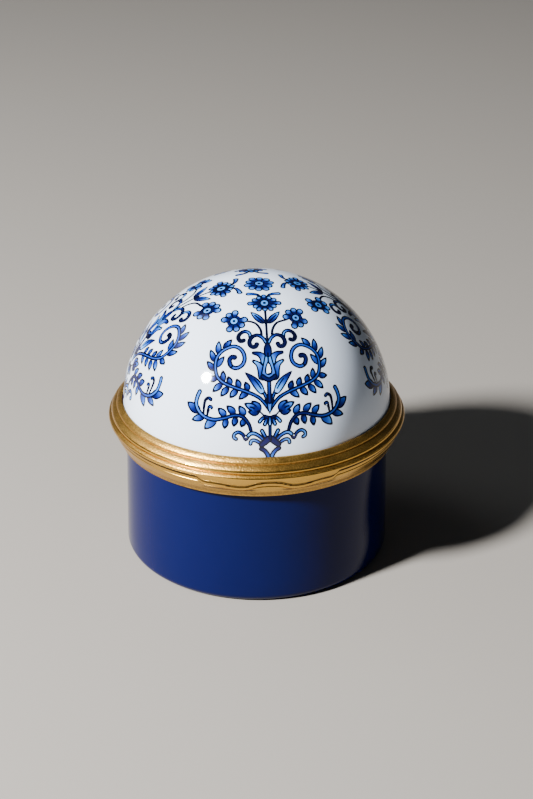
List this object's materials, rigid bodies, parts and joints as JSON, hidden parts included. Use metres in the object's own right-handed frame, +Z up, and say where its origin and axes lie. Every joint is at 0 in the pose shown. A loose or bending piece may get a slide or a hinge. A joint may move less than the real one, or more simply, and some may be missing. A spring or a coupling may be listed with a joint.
{
  "type": "enamel ring box",
  "caption": "Small round box of enamelled copper: a plain cylindrical base, gilt metal rims and a domed lid on a small hinge at the back.",
  "frame": {"origin": "centre of the flat underside, on the axis that the round base is turned about", "axes": "+Z up through the top of the dome, -Y towards the thumb-piece at the front, +Y towards the hinge at the back"},
  "size_m": [0.044, 0.0457, 0.0426],
  "materials": {
    "blue_enamel": "gloss vitreous enamel, navy blue",
    "white_enamel": "gloss vitreous enamel, white with painted blue arabesques",
    "gilt_brass": "gilt, fine turned grain"
  },
  "bodies": {
    "base": {"base_cup": "blue_enamel", "base_bezel": "gilt_brass", "hinge_pin": "gilt_brass"},
    "lid": {"lid_dome": "white_enamel", "lid_bezel": "gilt_brass"}
  },
  "joints": [
    {"name": "lid_hinge", "type": "hinge", "parent": "base", "child": "lid", "pos_m": [0, 0.02275, 0.02135], "axis": [-1, 0, 0], "range_deg": [0, 95]}
  ]
}
